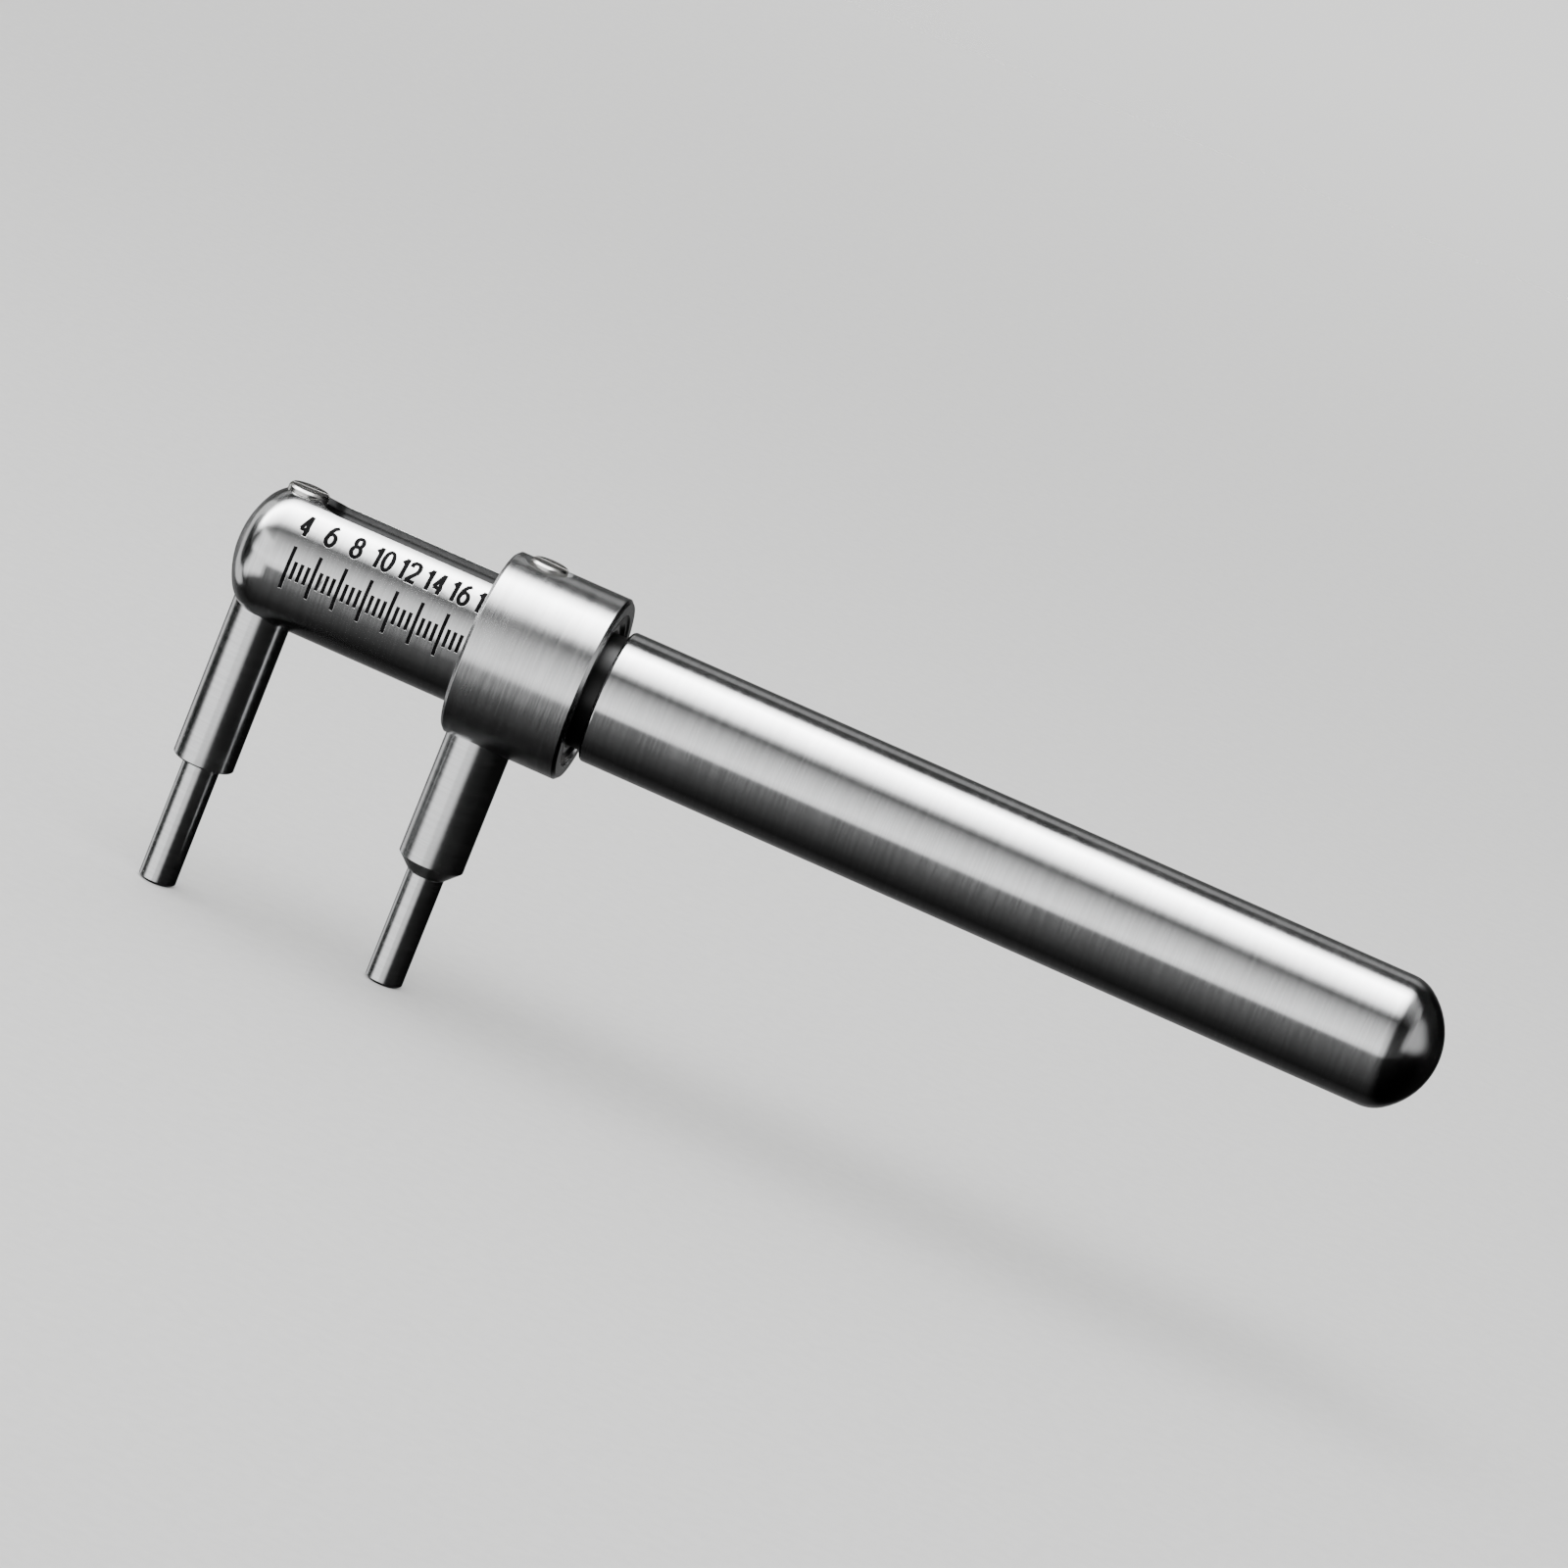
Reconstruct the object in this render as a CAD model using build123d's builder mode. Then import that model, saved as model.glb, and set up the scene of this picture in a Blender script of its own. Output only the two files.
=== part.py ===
"""Two-pin spacing ruler: a round graduated bar with a fixed pin and a sliding, lockable second pin.

+X runs along the bar from the head to the tail, and the pins point down, along -Z. The origin is the
centre of the fixed pin's shoulder, where its measuring tip begins. The scale is on the -Y side.
"""

from build123d import *
from math import atan2, cos, degrees, radians, sin
import os

# ---- Driving dimensions, millimetres -------------------------------------------------------------

# Bar
bar_radius = 5.0
axis_height = 16.5  # bar axis above the fixed pin's shoulder
head_dome = 3.45  # depth of the head's dome, which starts at the fixed pin's axis
joint_x = 25.4  # where the handle meets the scale bar
tail_x = 86.0  # where the tail's dome starts
tail_dome = 4.0
dome_shoulder = 2.9  # radius of the arc between a dome's crown and the bar's side
relief_x = 24.2  # start of the relief turned under the joint
relief_radius = 4.35
handle_rim_radius = 0.3
spigot_radius = 3.0
spigot_length = 8.0
spigot_gap = 0.02

# Keyway on top of the scale bar
keyway_width = 4.1
keyway_floor = 4.0  # above the bar axis
keyway_round_x = 3.0  # centre of its full-round start, which runs into the head screw's seat
keyway_corner = 0.6

# Collar, placed at its rest reading
reading = 18.1  # distance between the pin axes
index_to_pin = 2.6  # from the collar's left face, which is the index, to the sliding pin's axis
collar_length = 9.0
collar_radius = 7.0
collar_chamfer = 0.25
highest_reading = 20.0

# Bush and key inside the collar
bush_radius = 5.9
bush_recess = 0.1  # how far each end stands back from the collar's face
bush_mouth = 0.25
running_clearance = 0.02
key_length = 5.2
key_setback = 0.4  # from the collar's left face
key_side_clearance = 0.05
key_floor_clearance = 0.1

# Pins
tip_radius = 1.4
tip_reach = 9.5  # from the fixed pin's shoulder to both tips' ends
tip_chamfer = 0.2
tip_spigot_radius = 1.0
tip_spigot_length = 4.0
fixed_holder_radius = 2.3
fixed_holder_chamfer = 0.12
fixed_seat = 1.0  # how far under the bar axis the fixed holder's top face lies
sliding_holder_radius = 2.45
sliding_cone_top = 16.35  # under the bar axis
sliding_spigot_radius = 2.0
sliding_spigot_top = 5.3  # under the bar axis, clear of the bar
sliding_seat = 6.2  # under the bar axis

# Head screw, which pulls the fixed holder up into the bar
head_screw_radius = 1.55
head_screw_top = 5.15  # above the bar axis
head_screw_seat = 3.6  # above the bar axis
head_screw_gap = 0.1
head_thread_radius = 0.8
head_clearance_radius = 0.9
head_thread_depth = 5.0

# Lock screw and its shoe
lock_screw_radius = 1.46
lock_hole_radius = 1.5
lock_screw_top = 7.2  # above the bar axis
lock_mouth_radius = 1.85
lock_mouth_floor = 6.45  # above the bar axis
shoe_radius = 1.4
shoe_thickness = 0.85
shoe_gap = 0.15  # over the keyway's floor while slack

# Screw slots
slot_width = 0.5
slot_depth = 0.6
head_slot_angle = 8.0
lock_slot_angle = -6.0
screw_chamfer = 0.15

# Scale
first_mark = 4.0
mark_step = 0.5
long_every = 4  # long lines are four steps apart
mark_width = 0.26
long_mark_angles = (-15.3, 22.1)  # round the bar from its front, upwards
short_mark_angles = (-4.9, 10.6)
engraving_depth = 0.12
fill_recess = 0.015
numeral_angle = 42.8
numeral_height = 1.78
numeral_width = 0.76  # of the strokes' middles, as is the height
numeral_pitch = 1.08
after_one_pitch = 0.8  # a 1 is narrow, so the next digit stands closer
numeral_stroke = 0.31

# ---- Derived places ------------------------------------------------------------------------------

bar_axis = Axis((0, 0, axis_height), (1, 0, 0))
fixed_axis = Axis((0, 0, 0), (0, 0, 1))
sliding_axis = Axis((reading, 0, 0), (0, 0, 1))
lengthwise = Plane(origin=(0, 0, axis_height), x_dir=(1, 0, 0), z_dir=(0, -1, 0))
collar_left = reading - index_to_pin
collar_right = collar_left + collar_length
key_left = collar_left + key_setback
key_right = key_left + key_length
keyway_end_x = key_right + highest_reading - reading + key_side_clearance
tip_end = -tip_reach
sliding_shoulder = axis_height - sliding_cone_top - (sliding_holder_radius - tip_radius)
key_bottom = keyway_floor + key_floor_clearance
key_top = (bush_radius**2 - (keyway_width / 2) ** 2) ** 0.5
key_width = keyway_width - 2 * key_side_clearance
shoe_bottom = keyway_floor + shoe_gap
shoe_top = shoe_bottom + shoe_thickness


def level(above_axis):
    """The horizontal plane this far above the bar axis."""
    return Plane.XY.offset(axis_height + above_axis)


def dome(seam_x, depth, side):
    """Adds a dome's outline, crown and shoulder arcs, that ends the bar at seam_x; side is -1 or 1."""
    crown = (depth**2 + bar_radius**2 - 2 * bar_radius * dome_shoulder) / (2 * (depth - dome_shoulder))
    turn = degrees(atan2(bar_radius - dome_shoulder, crown - depth))
    pole = 0 if side > 0 else 180
    CenterArc((seam_x + side * (depth - crown), 0), crown, pole, side * turn)
    CenterArc((seam_x, bar_radius - dome_shoulder), dome_shoulder, pole + side * turn, side * (90 - turn))


def cut_slot(x, top, angle):
    """Cuts a screwdriver slot across the screw at x whose top face is this far above the bar axis."""
    with BuildSketch(level(top)) as slot:
        with Locations(Location((x, 0), angle)):
            Rectangle(4 * head_screw_radius, slot_width)
    extrude(slot.sketch, amount=-slot_depth, mode=Mode.SUBTRACT)


# ---- Engraved scale ------------------------------------------------------------------------------


def scale_x(value):
    """Where the index stands when the pins are this far apart."""
    return value - index_to_pin


def stroke(*points):
    """Adds one straight-sided engraved stroke through these points of the numeral's unit box."""
    with BuildLine() as path:
        Polyline(*[(x * numeral_width, y * numeral_height) for x, y in points])
    trace(path.line, line_width=numeral_stroke)


def loop(y, half_width, half_height):
    """Adds an oval engraved stroke centred at this height of the numeral's unit box."""
    across = half_width * numeral_width
    up = half_height * numeral_height
    with Locations((0, y * numeral_height)):
        Ellipse(across + numeral_stroke / 2, up + numeral_stroke / 2)
        Ellipse(across - numeral_stroke / 2, up - numeral_stroke / 2, mode=Mode.SUBTRACT)


def numeral(digit):
    """One engraved digit as a flat sketch, centred on its origin."""
    with BuildSketch() as glyph:
        if digit == "0":
            loop(0, 0.42, 0.45)
        elif digit == "1":
            stroke((0.1, 0.5), (0.1, -0.5))
            stroke((-0.26, 0.22), (0.1, 0.4))
        elif digit == "2":
            stroke((-0.42, 0.2), (-0.36, 0.36), (-0.15, 0.45), (0.15, 0.45), (0.36, 0.36), (0.42, 0.18))
            stroke((0.42, 0.2), (0.34, 0.02), (-0.42, -0.45))
            stroke((-0.5, -0.45), (0.45, -0.45))
        elif digit == "4":
            stroke((0.2, -0.5), (0.2, 0.5))
            stroke((0.22, 0.48), (-0.38, -0.22))
            stroke((-0.44, -0.22), (0.46, -0.22))
        elif digit == "6":
            loop(-0.18, 0.42, 0.27)
            stroke((-0.42, -0.2), (-0.3, 0.15), (-0.05, 0.38), (0.28, 0.48))
        elif digit == "8":
            loop(0.23, 0.34, 0.22)
            loop(-0.21, 0.42, 0.24)
    return glyph.sketch


numerals = {digit: numeral(digit) for digit in "012468"}


def wrap_on_bar(outer, inner):
    """Keeps only the material between these two radii about the bar axis."""
    middle = (scale_x(first_mark) + scale_x(highest_reading)) / 2
    length = highest_reading + 2 * index_to_pin
    with Locations((middle, 0, axis_height)):
        Cylinder(outer, length, rotation=(0, 90, 0), mode=Mode.INTERSECT)
        Cylinder(inner, length + 1, rotation=(0, 90, 0), mode=Mode.SUBTRACT)


def line_marks(outer):
    """The graduation lines as solids, from the engraving's floor out to this radius."""
    count = round((highest_reading - first_mark) / mark_step) + 1
    with BuildPart() as marks:
        with BuildSketch(lengthwise.offset(bar_radius + 1)):
            for index in range(count):
                angles = short_mark_angles if index % long_every else long_mark_angles
                low, high = (bar_radius * sin(radians(angle)) for angle in angles)
                with Locations((scale_x(first_mark + index * mark_step), (low + high) / 2)):
                    Rectangle(mark_width, high - low)
        extrude(amount=-bar_radius)
        wrap_on_bar(outer, bar_radius - engraving_depth)
    return marks.part


def numeral_marks(outer):
    """The numbers over the long lines as solids, from the engraving's floor out to this radius."""
    angle = radians(numeral_angle)
    outwards = Vector(0, -cos(angle), sin(angle))
    facing = Plane(
        origin=Vector(0, 0, axis_height) + outwards * (bar_radius + 1), x_dir=(1, 0, 0), z_dir=outwards
    )
    with BuildPart() as marks:
        with BuildSketch(facing):
            for value in range(int(first_mark), int(highest_reading) + 1, 2):
                digits = str(value)
                pitch = after_one_pitch if digits[0] == "1" else numeral_pitch
                start = scale_x(value) - pitch * (len(digits) - 1) / 2
                for place, digit in enumerate(digits):
                    with Locations((start + place * pitch, 0)):
                        add(numerals[digit])
        extrude(amount=-bar_radius / 2)
        wrap_on_bar(outer, bar_radius - engraving_depth)
    return marks.part


# ---- Bar and handle ------------------------------------------------------------------------------

with BuildPart() as scale_bar:
    with BuildSketch(lengthwise):
        with BuildLine():
            dome(0, head_dome, -1)
            Polyline(
                (0, bar_radius),
                (relief_x, bar_radius),
                (relief_x, relief_radius),
                (joint_x, relief_radius),
                (joint_x, spigot_radius - spigot_gap),
                (joint_x + spigot_length, spigot_radius - spigot_gap),
                (joint_x + spigot_length, 0),
                (-head_dome, 0),
            )
        make_face()
    revolve(axis=bar_axis)
    # Keyway for the collar's key
    with BuildSketch(level(keyway_floor)):
        with Locations(((keyway_round_x + keyway_end_x) / 2, 0)):
            Rectangle(keyway_end_x - keyway_round_x, keyway_width)
        fillet(vertices().group_by(Axis.X)[-1], keyway_corner)
        with Locations((keyway_round_x, 0)):
            Circle(keyway_width / 2)
    extrude(amount=bar_radius, mode=Mode.SUBTRACT)
    # Seat for the head screw, its clearance hole, and the pocket for the fixed holder
    with BuildSketch(level(head_screw_seat)):
        Circle(head_screw_radius + head_screw_gap)
    extrude(amount=bar_radius, mode=Mode.SUBTRACT)
    with BuildSketch(level(0)):
        Circle(head_clearance_radius)
    extrude(amount=bar_radius, both=True, mode=Mode.SUBTRACT)
    with BuildSketch(level(-fixed_seat)):
        Circle(fixed_holder_radius)
    extrude(amount=-bar_radius, mode=Mode.SUBTRACT)
    add(line_marks(bar_radius + 1), mode=Mode.SUBTRACT)
    add(numeral_marks(bar_radius + 1), mode=Mode.SUBTRACT)

with BuildPart() as handle:
    with BuildSketch(lengthwise):
        with BuildLine():
            Polyline(
                (tail_x + tail_dome, 0),
                (joint_x + spigot_length, 0),
                (joint_x + spigot_length, spigot_radius),
                (joint_x, spigot_radius),
                (joint_x, bar_radius - handle_rim_radius),
            )
            RadiusArc(
                (joint_x, bar_radius - handle_rim_radius),
                (joint_x + handle_rim_radius, bar_radius),
                handle_rim_radius,
            )
            Line((joint_x + handle_rim_radius, bar_radius), (tail_x, bar_radius))
            dome(tail_x, tail_dome, 1)
        make_face()
    revolve(axis=bar_axis)

with BuildPart() as graduation_fill:
    add(line_marks(bar_radius - fill_recess))

with BuildPart() as numeral_fill:
    add(numeral_marks(bar_radius - fill_recess))

# ---- Fixed pin -----------------------------------------------------------------------------------

with BuildPart() as fixed_pin_holder:
    with BuildSketch(Plane.XZ):
        Polygon(
            (0, tip_spigot_length),
            (tip_spigot_radius, tip_spigot_length),
            (tip_spigot_radius, 0),
            (fixed_holder_radius - fixed_holder_chamfer, 0),
            (fixed_holder_radius, fixed_holder_chamfer),
            (fixed_holder_radius, axis_height - fixed_seat),
            (head_thread_radius, axis_height - fixed_seat),
            (head_thread_radius, axis_height - fixed_seat - head_thread_depth),
            (0, axis_height - fixed_seat - head_thread_depth),
            align=None,
        )
    revolve(axis=fixed_axis)


def turned_tip(x, shoulder):
    """A measuring tip at x, with its spigot above this shoulder height and its end at the common level."""
    with BuildPart() as tip:
        with BuildSketch(Plane.XZ):
            Polygon(
                (x, tip_end),
                (x + tip_radius - tip_chamfer, tip_end),
                (x + tip_radius, tip_end + tip_chamfer),
                (x + tip_radius, shoulder),
                (x + tip_spigot_radius, shoulder),
                (x + tip_spigot_radius, shoulder + tip_spigot_length),
                (x, shoulder + tip_spigot_length),
                align=None,
            )
        revolve(axis=Axis((x, 0, 0), (0, 0, 1)))
    return tip.part


with BuildPart() as fixed_pin_tip:
    add(turned_tip(0, 0))

with BuildPart() as head_screw:
    with BuildSketch(level(head_screw_seat)):
        Circle(head_screw_radius)
    extrude(amount=head_screw_top - head_screw_seat)
    chamfer(faces().sort_by(Axis.Z)[-1].edges(), screw_chamfer)
    with BuildSketch(level(head_screw_seat)):
        Circle(head_thread_radius)
    extrude(amount=-(head_screw_seat + fixed_seat + head_thread_depth - slot_depth))
    cut_slot(0, head_screw_top, head_slot_angle)

# ---- Collar, its bush and its key ----------------------------------------------------------------

with BuildPart() as collar:
    with BuildSketch(lengthwise):
        Polygon(
            (collar_left, bush_radius),
            (collar_left, collar_radius - collar_chamfer),
            (collar_left + collar_chamfer, collar_radius),
            (collar_right - collar_chamfer, collar_radius),
            (collar_right, collar_radius - collar_chamfer),
            (collar_right, bush_radius),
            align=None,
        )
    revolve(axis=bar_axis)
    # Tapped hole and mouth for the lock screw
    with BuildSketch(level(0)):
        with Locations((reading, 0)):
            Circle(lock_hole_radius)
    extrude(amount=2 * collar_radius, mode=Mode.SUBTRACT)
    with BuildSketch(level(lock_mouth_floor)):
        with Locations((reading, 0)):
            Circle(lock_mouth_radius)
    extrude(amount=collar_radius, mode=Mode.SUBTRACT)
    # Seat and hole for the sliding holder
    with BuildSketch(level(-sliding_seat)):
        with Locations((reading, 0)):
            Circle(sliding_holder_radius)
    extrude(amount=-collar_radius, mode=Mode.SUBTRACT)
    with BuildSketch(level(0)):
        with Locations((reading, 0)):
            Circle(sliding_spigot_radius)
    extrude(amount=-2 * collar_radius, mode=Mode.SUBTRACT)

with BuildPart() as collar_bush:
    inner = bar_radius + running_clearance
    left = collar_left + bush_recess
    right = collar_right - bush_recess
    with BuildSketch(lengthwise):
        Polygon(
            (left, bush_radius),
            (left, inner + bush_mouth),
            (left + bush_mouth, inner),
            (right - bush_mouth, inner),
            (right, inner + bush_mouth),
            (right, bush_radius),
            align=None,
        )
    revolve(axis=bar_axis)
    # Slot for the key, open through the wall
    with BuildSketch(level(0)):
        with Locations(((key_left + key_right) / 2, 0)):
            Rectangle(key_length, key_width)
    extrude(amount=2 * bar_radius, mode=Mode.SUBTRACT)
    # Hole for the sliding holder's spigot, which also stops the bush turning
    with BuildSketch(level(0)):
        with Locations((reading, 0)):
            Circle(sliding_spigot_radius)
    extrude(amount=-2 * bar_radius, mode=Mode.SUBTRACT)

with BuildPart() as guide_key:
    with BuildSketch(level(key_bottom)):
        with Locations(((key_left + key_right) / 2, 0)):
            RectangleRounded(key_length, key_width, keyway_corner)
        with Locations((reading, 0)):
            Circle(lock_hole_radius, mode=Mode.SUBTRACT)
    extrude(amount=key_top - key_bottom)

# ---- Sliding pin ---------------------------------------------------------------------------------

with BuildPart() as sliding_pin_holder:
    with BuildSketch(Plane.XZ):
        Polygon(
            (reading, sliding_shoulder + tip_spigot_length),
            (reading + tip_spigot_radius, sliding_shoulder + tip_spigot_length),
            (reading + tip_spigot_radius, sliding_shoulder),
            (reading + tip_radius, sliding_shoulder),
            (reading + sliding_holder_radius, axis_height - sliding_cone_top),
            (reading + sliding_holder_radius, axis_height - sliding_seat),
            (reading + sliding_spigot_radius, axis_height - sliding_seat),
            (reading + sliding_spigot_radius, axis_height - sliding_spigot_top),
            (reading, axis_height - sliding_spigot_top),
            align=None,
        )
    revolve(axis=sliding_axis)

with BuildPart() as sliding_pin_tip:
    add(turned_tip(reading, sliding_shoulder))

# ---- Lock screw and shoe -------------------------------------------------------------------------

with BuildPart() as lock_screw:
    with BuildSketch(level(shoe_top)):
        with Locations((reading, 0)):
            Circle(lock_screw_radius)
    extrude(amount=lock_screw_top - shoe_top)
    chamfer(faces().sort_by(Axis.Z)[-1].edges(), screw_chamfer)
    cut_slot(reading, lock_screw_top, lock_slot_angle)

with BuildPart() as lock_shoe:
    with BuildSketch(level(shoe_bottom)):
        with Locations((reading, 0)):
            Circle(shoe_radius)
    extrude(amount=shoe_thickness)

# ---- Output --------------------------------------------------------------------------------------

pieces = {
    "scale_bar": scale_bar,
    "handle": handle,
    "graduation_fill": graduation_fill,
    "numeral_fill": numeral_fill,
    "fixed_pin_holder": fixed_pin_holder,
    "fixed_pin_tip": fixed_pin_tip,
    "head_screw": head_screw,
    "collar": collar,
    "collar_bush": collar_bush,
    "guide_key": guide_key,
    "sliding_pin_holder": sliding_pin_holder,
    "sliding_pin_tip": sliding_pin_tip,
    "lock_screw": lock_screw,
    "lock_shoe": lock_shoe,
}

os.makedirs("parts", exist_ok=True)
for name, piece in pieces.items():
    piece.part.label = name
    export_step(piece.part, f"parts/{name}.step")
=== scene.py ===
"""Looks for the two-pin spacing ruler: turned steels, black-filled engraving, studio stage.

Lengths are in metres and noise scales in waves per metre.
"""

from math import cos, pi, radians, sin

import bmesh
import bpy
from mathutils import Matrix, Vector


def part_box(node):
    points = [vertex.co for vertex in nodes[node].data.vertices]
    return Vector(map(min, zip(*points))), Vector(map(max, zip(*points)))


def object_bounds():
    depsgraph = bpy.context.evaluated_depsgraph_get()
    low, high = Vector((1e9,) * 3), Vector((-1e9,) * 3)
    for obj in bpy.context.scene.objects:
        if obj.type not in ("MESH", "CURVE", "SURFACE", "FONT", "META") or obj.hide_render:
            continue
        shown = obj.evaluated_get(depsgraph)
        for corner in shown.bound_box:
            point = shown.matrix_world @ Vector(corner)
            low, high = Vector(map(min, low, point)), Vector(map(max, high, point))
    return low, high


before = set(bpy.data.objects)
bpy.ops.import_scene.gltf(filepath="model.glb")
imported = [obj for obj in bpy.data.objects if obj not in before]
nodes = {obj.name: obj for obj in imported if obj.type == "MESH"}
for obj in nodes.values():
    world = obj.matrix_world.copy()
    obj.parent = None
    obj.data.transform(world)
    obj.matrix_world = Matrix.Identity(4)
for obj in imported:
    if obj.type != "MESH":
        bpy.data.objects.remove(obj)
cad_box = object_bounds()


# ---- Node graph helpers --------------------------------------------------------------------------


class Graph:
    """Adds shader nodes to one tree. A source is a socket or a constant."""

    def __init__(self, tree):
        self.tree = tree
        tree.nodes.clear()

    def add(self, kind, inputs=None, **settings):
        node = self.tree.nodes.new(kind)
        for name, value in settings.items():
            setattr(node, name, value)
        for name, value in (inputs or {}).items():
            self.feed(node.inputs[name], value)
        return node

    def feed(self, socket, value):
        if isinstance(value, bpy.types.NodeSocket):
            self.tree.links.new(value, socket)
        elif hasattr(socket.default_value, "__len__"):
            length = len(socket.default_value)
            socket.default_value = (*value, 1.0)[:length]
        else:
            socket.default_value = value

    def math(self, operation, *values):
        node = self.add("ShaderNodeMath", operation=operation)
        for socket, value in zip(node.inputs, values):
            self.feed(socket, value)
        return node.outputs[0]

    def product(self, first, *others):
        for other in others:
            first = self.math("MULTIPLY", first, other)
        return first

    def vector(self, operation, *values, output="Vector"):
        node = self.add("ShaderNodeVectorMath", operation=operation)
        for socket, value in zip(node.inputs, values):
            self.feed(socket, value)
        return node.outputs[output]

    def combine(self, x, y, z):
        return self.add("ShaderNodeCombineXYZ", {"X": x, "Y": y, "Z": z}).outputs[0]

    def noise(self, where, scale=1.0, detail=2.0, roughness=0.5):
        inputs = {"Vector": where, "Scale": scale, "Detail": detail, "Roughness": roughness}
        return self.add("ShaderNodeTexNoise", inputs).outputs["Fac"]

    def spread(self, value, low, high, out_low=0.0, out_high=1.0):
        """Maps low..high of a value to out_low..out_high, smoothly and clamped."""
        inputs = {
            "Value": value,
            "From Min": low,
            "From Max": high,
            "To Min": out_low,
            "To Max": out_high,
        }
        return self.add("ShaderNodeMapRange", inputs, interpolation_type="SMOOTHSTEP").outputs[0]

    def ramp(self, value, stops):
        """A colour ramp over grey values or colours; stops are (position, value) pairs."""
        node = self.add("ShaderNodeValToRGB", {"Fac": value})
        elements = node.color_ramp.elements
        while len(elements) < len(stops):
            elements.new(1.0)
        for element, (position, shade) in zip(elements, stops):
            element.position = position
            colour = shade if hasattr(shade, "__len__") else (shade, shade, shade)
            element.color = (*colour, 1.0)
        return node.outputs["Color"]

    def blend(self, factor, a, b):
        node = self.add("ShaderNodeMix", data_type="RGBA")
        self.feed(node.inputs["Factor"], factor)
        self.feed(node.inputs[6], a)
        self.feed(node.inputs[7], b)
        return node.outputs[2]


def new_material(name):
    material = bpy.data.materials.new(name)
    material.use_nodes = True
    return material, Graph(material.node_tree)


# ---- Metals and enamel ---------------------------------------------------------------------------

FINE_ARC, COARSE_ARC = 0.003, 0.008  # length of the tool marks round the part
COARSE_SPACING = 3  # times the fine marks' pitch
SCRATCHES_ALONG, SCRATCHES_ACROSS = 70.0, 5200.0
RELIEF = 0.00001  # height of tool marks and enamel grain at full strength
POLE_RADIUS = 0.0012  # nearer its axis a turned face has no clear brushing direction
# pale grey for edges: partly worn metal, partly a painted highlight
WORN_EDGE_HIGHLIGHT = (0.88, 0.88, 0.87)
# near-black painted shade for the keyway and relief below the turned surface
PAINTED_RECESS_SHADE = (0.012, 0.012, 0.012)
RECESS_ONSET = 0.0004


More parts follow.
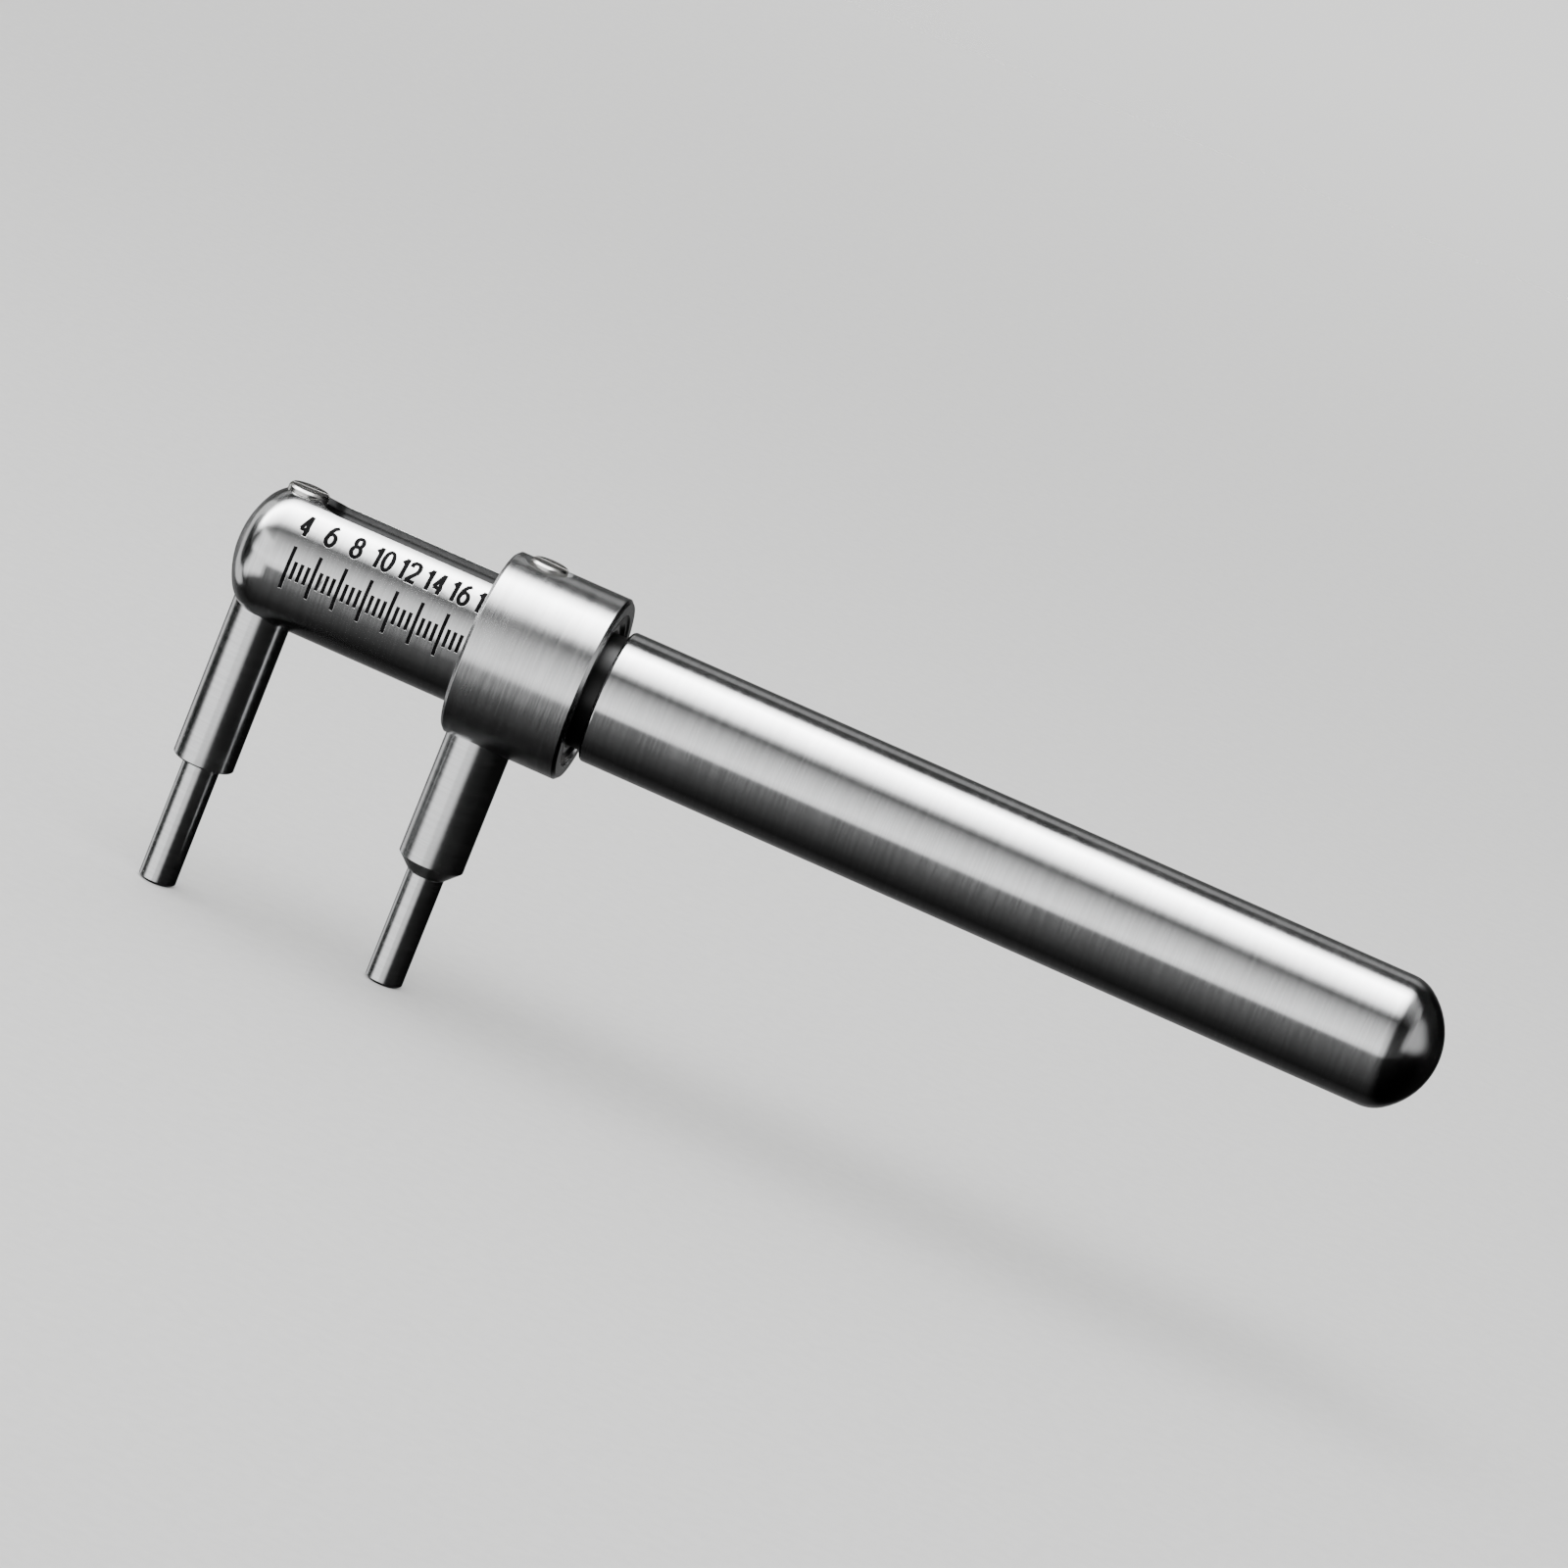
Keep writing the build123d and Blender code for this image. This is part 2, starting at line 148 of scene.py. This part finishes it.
def turned_metal(
    name,
    axis,
    centre,
    colour,
    stain,
    roughness,
    line_pitch=0.00014,
    line_depth=0.05,
    streak=0.05,
    anisotropy=0.55,
    edge=0.00004,
    recess=None,
):
    """Metal finished on a lathe: fine rings about an axis, tone streaks, smudges, and worn edges
    lightened partly as a painted highlight.

    A recess gets painted shade on what lies within its first radius, fading out by its second
    radius, and starts at its third value along the axis.
    """
    material, g = new_material(name)
    place = g.add("ShaderNodeTexCoord").outputs["Object"]
    local = g.vector("SUBTRACT", place, tuple(centre))
    split = g.add("ShaderNodeSeparateXYZ", {"Vector": local}).outputs
    along = split[axis]
    across = [split[i] for i in range(3) if i != axis]
    radial = g.math("SQRT", g.math("ADD", *(g.product(a, a) for a in across)))
    profile = g.math("ADD", along, radial)

    def rings(pitch, arc):
        """Noise drawn out round the axis, this far apart and this long."""
        parts = [g.product(profile, 1 / pitch)]
        parts += [g.product(a, 1 / arc) for a in across]
        return g.combine(*parts)

    fine = g.noise(rings(line_pitch, FINE_ARC), detail=1.0)
    coarse = g.noise(rings(line_pitch * COARSE_SPACING, COARSE_ARC), detail=1.0)
    smudge = g.noise(place, scale=180.0, detail=4.0, roughness=0.6)
    broad = g.noise(place, scale=55.0, detail=2.0)
    scales = [SCRATCHES_ALONG if i == axis else SCRATCHES_ACROSS for i in range(3)]
    scratch = g.noise(g.combine(*(g.product(split[i], scales[i]) for i in range(3))), detail=1.0)
    scratched = g.spread(scratch, 0.70, 0.78)

    # Edges are rubbed smoother than the faces beside them, and lighter: partly real wear, partly a
    # painted highlight along each edge
    normal = g.add("ShaderNodeNewGeometry").outputs["Normal"]
    rounded = g.add("ShaderNodeBevel", {"Radius": edge}, samples=6).outputs["Normal"]
    bend = g.vector("DOT_PRODUCT", normal, rounded, output="Value")
    edge_wear_and_highlight = g.spread(g.math("SUBTRACT", 1.0, bend), 0.01, 0.12)

    tone = g.math("ADD", g.product(fine, 0.6), g.product(coarse, 0.4))
    streaked = g.spread(tone, 0.36, 0.64)
    dark = tuple(c * (1 - streak) for c in colour)
    light = tuple(min(1.0, c * (1 + streak)) for c in colour)
    base = g.blend(streaked, dark, light)
    base = g.blend(g.spread(smudge, 0.50, 0.78, 0.0, 0.14), base, stain)
    # Edge colour is lightened toward pale grey, partly rubbed wear and partly a painted highlight
    base = g.blend(g.product(edge_wear_and_highlight, 0.5), base, WORN_EDGE_HIGHLIGHT)

    rough = g.spread(tone, 0.3, 0.7, roughness * 0.90, roughness * 1.12)
    rough = g.math("ADD", rough, g.spread(smudge, 0.45, 0.75, 0.0, roughness * 0.18))
    drift = roughness * 0.10
    rough = g.math("ADD", rough, g.spread(broad, 0.35, 0.65, -drift, drift))
    rough = g.math("SUBTRACT", rough, g.product(scratched, roughness * 0.25))
    rough = g.product(rough, g.spread(edge_wear_and_highlight, 0.0, 1.0, 1.0, 0.8))
    if recess:
        # What lies below the turned surface, the keyway and the relief, is darkened with painted
        # shade and made rougher
        full, end, start = recess
        sunk = g.spread(radial, full, end, 1.0, 0.0)
        recess_shade_mask = g.product(sunk, g.spread(along, start, start + RECESS_ONSET))
        base = g.blend(g.product(recess_shade_mask, 0.96), base, PAINTED_RECESS_SHADE)
        rough = g.math("ADD", rough, g.product(recess_shade_mask, 0.22))

    height = g.math("SUBTRACT", tone, g.product(scratched, 0.12))
    bump = g.add(
        "ShaderNodeBump",
        {"Strength": line_depth, "Distance": RELIEF, "Height": height, "Normal": rounded},
    ).outputs[0]
    around = g.add("ShaderNodeTangent", direction_type="RADIAL", axis="XYZ"[axis]).outputs[0]
    shader = g.add(
        "ShaderNodeBsdfPrincipled",
        {
            "Base Color": base,
            "Metallic": 1.0,
            "Roughness": rough,
            "Anisotropic": g.spread(radial, 0.0, POLE_RADIUS, 0.0, anisotropy),
            "Anisotropic Rotation": 0.25,  # a quarter turn, so highlights stretch along the axis
            "Normal": bump,
            "Tangent": around,
        },
    )
    g.add("ShaderNodeOutputMaterial", {"Surface": shader.outputs[0]})
    return material


def enamel(name):
    """Matt black engraving filler, a little uneven and grainy."""
    material, g = new_material(name)
    place = g.add("ShaderNodeTexCoord").outputs["Object"]
    grain = g.noise(place, scale=9000.0, detail=4.0, roughness=0.7)
    patch = g.noise(place, scale=1500.0, detail=3.0)
    base = g.ramp(patch, [(0.35, (0.002, 0.002, 0.002)), (0.75, (0.010, 0.010, 0.011))])
    rough = g.spread(grain, 0.3, 0.7, 0.38, 0.62)
    inputs = {"Strength": 0.4, "Distance": RELIEF, "Height": grain}
    bump = g.add("ShaderNodeBump", inputs).outputs[0]
    shader = g.add(
        "ShaderNodeBsdfPrincipled",
        {"Base Color": base, "Roughness": rough, "Specular IOR Level": 0.03, "Normal": bump},
    )
    g.add("ShaderNodeOutputMaterial", {"Surface": shader.outputs[0]})
    return material


def middle(node):
    low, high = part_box(node)
    return (low + high) / 2


X_AXIS, Z_AXIS = 0, 2
stain = (0.40, 0.39, 0.37)
steel = (0.68, 0.685, 0.69)
collar_grey = (0.66, 0.665, 0.67)
screw_grey = (0.64, 0.635, 0.62)
oiled, oil_stain = (0.22, 0.22, 0.22), (0.1, 0.1, 0.1)
brass, tarnish = (0.78, 0.58, 0.28), (0.35, 0.24, 0.12)

bar_centre = middle("scale_bar")
bar_radius = (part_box("handle")[1].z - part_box("handle")[0].z) / 2
sunk_faces = (0.895 * bar_radius, 0.93 * bar_radius, 0.0008 - bar_centre.x)


def round_the_bar(name, colour, roughness, stained=stain, **finish):
    return turned_metal(name, X_AXIS, bar_centre, colour, stained, roughness, **finish)


def upright(name, node, colour, roughness, stained=stain, **finish):
    return turned_metal(name, Z_AXIS, middle(node), colour, stained, roughness, **finish)


handle_steel = round_the_bar("handle_steel", steel, 0.16)
bar_steel = round_the_bar("bar_steel", steel, 0.16, recess=sunk_faces)
collar_steel = round_the_bar("collar_steel", collar_grey, 0.22, streak=0.07)
bush_steel = round_the_bar("bush_steel", oiled, 0.26, oil_stain)
pin_finish = {"line_pitch": 0.00011, "line_depth": 0.03, "streak": 0.04, "anisotropy": 0.3}
fixed_steel = upright("fixed_pin_steel", "fixed_pin_holder", steel, 0.19, **pin_finish)
sliding_steel = upright("sliding_pin_steel", "sliding_pin_holder", steel, 0.19, **pin_finish)
head_screw_steel = upright("head_screw_steel", "head_screw", screw_grey, 0.22)
lock_screw_steel = upright("lock_screw_steel", "lock_screw", screw_grey, 0.22)
shoe_brass = upright("shoe_brass", "lock_screw", brass, 0.28, tarnish)
black_enamel = enamel("black_enamel")

finishes = {
    "scale_bar": bar_steel,
    "handle": handle_steel,
    "graduation_fill": black_enamel,
    "numeral_fill": black_enamel,
    "fixed_pin_holder": fixed_steel,
    "fixed_pin_tip": fixed_steel,
    "head_screw": head_screw_steel,
    "collar": collar_steel,
    "collar_bush": bush_steel,
    "guide_key": bush_steel,
    "sliding_pin_holder": sliding_steel,
    "sliding_pin_tip": sliding_steel,
    "lock_screw": lock_screw_steel,
    "lock_shoe": shoe_brass,
}
for node, material in finishes.items():
    nodes[node].material_slots[0].material = material


# ---- Stage: pale floor, studio surroundings ------------------------------------------------------

lowest, highest = (Vector(corner) for corner in cad_box)
centre = (lowest + highest) / 2
reach = (highest - lowest).length
pale = (0.80, 0.80, 0.79)
FLOOR_RADIUS = 8  # in reaches, as are the next two
FADE_START, FADE_END = 2.2, 7.5

sheet = bmesh.new()
bmesh.ops.create_circle(sheet, cap_ends=True, segments=96, radius=FLOOR_RADIUS * reach)
floor_mesh = bpy.data.meshes.new("floor")
sheet.to_mesh(floor_mesh)
sheet.free()
floor = bpy.data.objects.new("floor", floor_mesh)
floor.location = (centre.x, centre.y, lowest.z)
bpy.context.scene.collection.objects.link(floor)
floor.visible_glossy = False  # the metal mirrors the surround here, not the floor

floor_material, g = new_material("pale_floor")
place = g.add("ShaderNodeTexCoord").outputs["Object"]
distance = g.vector("LENGTH", place, output="Value")
speckle = g.noise(place, scale=900.0, detail=4.0)
surface = g.add(
    "ShaderNodeBsdfPrincipled",
    {"Base Color": g.ramp(speckle, [(0.3, 0.70), (0.7, 0.74)]), "Roughness": 0.7},
)
clear = g.add("ShaderNodeBsdfTransparent")
fade = g.spread(distance, FADE_START * reach, FADE_END * reach)
faded = g.add("ShaderNodeMixShader", {"Fac": fade})
g.feed(faded.inputs[1], surface.outputs[0])
g.feed(faded.inputs[2], clear.outputs[0])
g.add("ShaderNodeOutputMaterial", {"Surface": faded.outputs[0]})
floor.data.materials.append(floor_material)

world = bpy.data.worlds.new("studio")
bpy.context.scene.world = world
world.use_nodes = True
world.cycles.sampling_method = "NONE"
g = Graph(world.node_tree)
direction = g.vector("NORMALIZE", g.add("ShaderNodeTexCoord").outputs["Generated"])
x, y, z = g.add("ShaderNodeSeparateXYZ", {"Vector": direction}).outputs
forward = g.product(y, -1.0)
turn = g.math("ARCTAN2", z, forward)
share = g.math("ADD", g.product(turn, 1 / (2 * pi)), 0.5)


def bands(*stops):
    """Stops at angles round the bar's axis, from the front upwards, in degrees."""
    return [(angle / 360 + 0.5, shade) for angle, shade in stops]


around = g.ramp(
    share,
    bands(
        (-180, 0.16),
        (-152, 0.18),
        (-128, 0.05),
        (-100, 0.012),
        (-78, 0.03),
        (-58, 0.075),
        (-38, 0.13),
        (-22, 0.17),
        (-18, 0.24),
        (-14, 1.5),
        (-4, 1.9),
        (10, 1.5),
        (28, 0.85),
        (41, 0.36),
        (48, 0.11),
        (55, 0.6),
        (74, 6.0),
        (98, 14.0),
        (112, 5.0),
        (119, 0.06),
        (136, 0.05),
        (142, 0.42),
        (152, 0.30),
        (159, 0.05),
        (172, 0.10),
    ),
)
# The bands fade out toward the tail, and again straight out past the head
right_end = g.spread(x, 0.02, 0.36, 1.0, 0.03)
left_end = g.spread(x, -0.99, -0.90, 0.05, 1.0)
lit = g.vector("SCALE", around)
g.feed(lit.node.inputs["Scale"], g.product(right_end, left_end))


def panel(axis_value, low, high, soft=0.05):
    """1 between low and high, falling to 0 within soft on both sides."""
    up = g.spread(axis_value, low - soft, low)
    down = g.spread(axis_value, high, high + soft, 1.0, 0.0)
    return g.product(up, down)


LEFT_GLOW, REAR_GLOW, RIGHT_GLOW = 1.6, 0.9, 0.62
PLAIN_GLOW = 1.7  # for rays that aren't mirrored
front = g.spread(forward, 0.0, 0.12)
back = g.spread(forward, -0.12, 0.0, 1.0, 0.0)
left_box = g.product(panel(x, -0.84, -0.34, 0.12), front, panel(z, -0.5, 0.35, 0.2))
rear_strip = g.product(panel(x, -0.86, -0.72), back, panel(z, -0.6, 0.6, 0.2))
right_box = g.product(panel(x, 0.84, 1.10, 0.06), panel(z, 0.15, 0.75, 0.25))
right_box = g.product(right_box, g.spread(forward, -0.42, 0.06))
extra = g.product(left_box, LEFT_GLOW)
extra = g.math("MAXIMUM", extra, g.product(rear_strip, REAR_GLOW))
extra = g.math("MAXIMUM", extra, g.product(right_box, RIGHT_GLOW))
shine = g.vector("MAXIMUM", lit, g.combine(extra, extra, extra))
rays = g.add("ShaderNodeLightPath").outputs
glossy = g.add("ShaderNodeBackground", {"Color": shine, "Strength": 1.0})
plain = g.add("ShaderNodeBackground", {"Color": pale, "Strength": PLAIN_GLOW})
mixed = g.add("ShaderNodeMixShader", {"Fac": rays["Is Glossy Ray"]})
g.feed(mixed.inputs[1], plain.outputs[0])
g.feed(mixed.inputs[2], glossy.outputs[0])
g.add("ShaderNodeOutputWorld", {"Surface": mixed.outputs[0]})

key = bpy.data.lights.new("key", "AREA")
key.shape = "RECTANGLE"
key.size, key.size_y = 3 * reach, 1.6 * reach
key.energy = 0.7
key_light = bpy.data.objects.new("key", key)
key_light.location = centre + Vector((-0.6, -0.5, 3.2)) * reach
key_light.rotation_euler = (centre - key_light.location).to_track_quat("-Z", "Y").to_euler()
key_light.visible_glossy = False
bpy.context.scene.collection.objects.link(key_light)


# ---- Camera --------------------------------------------------------------------------------------

azimuth, elevation, roll = radians(6.52), radians(13.03), radians(22.34)
target = Vector((0.03956, 0.0, 0.01583))
distance_to_target = 0.6193
back_way = Vector((sin(azimuth) * cos(elevation), -cos(azimuth) * cos(elevation), sin(elevation)))
level_right = Vector((cos(azimuth), sin(azimuth), 0.0))
level_up = back_way.cross(level_right)
right = cos(roll) * level_right + sin(roll) * level_up
up = cos(roll) * level_up - sin(roll) * level_right
camera_data = bpy.data.cameras.new("camera")
camera_data.lens = 200.0
camera_data.sensor_width = 36.0
camera_data.clip_start = 0.01
camera_data.clip_end = 10.0
camera = bpy.data.objects.new("camera", camera_data)
camera.matrix_world = Matrix.Translation(target + distance_to_target * back_way) @ Matrix(
    [list(row) for row in zip(right, up, back_way)]
).to_4x4()
bpy.context.scene.collection.objects.link(camera)
bpy.context.scene.camera = camera
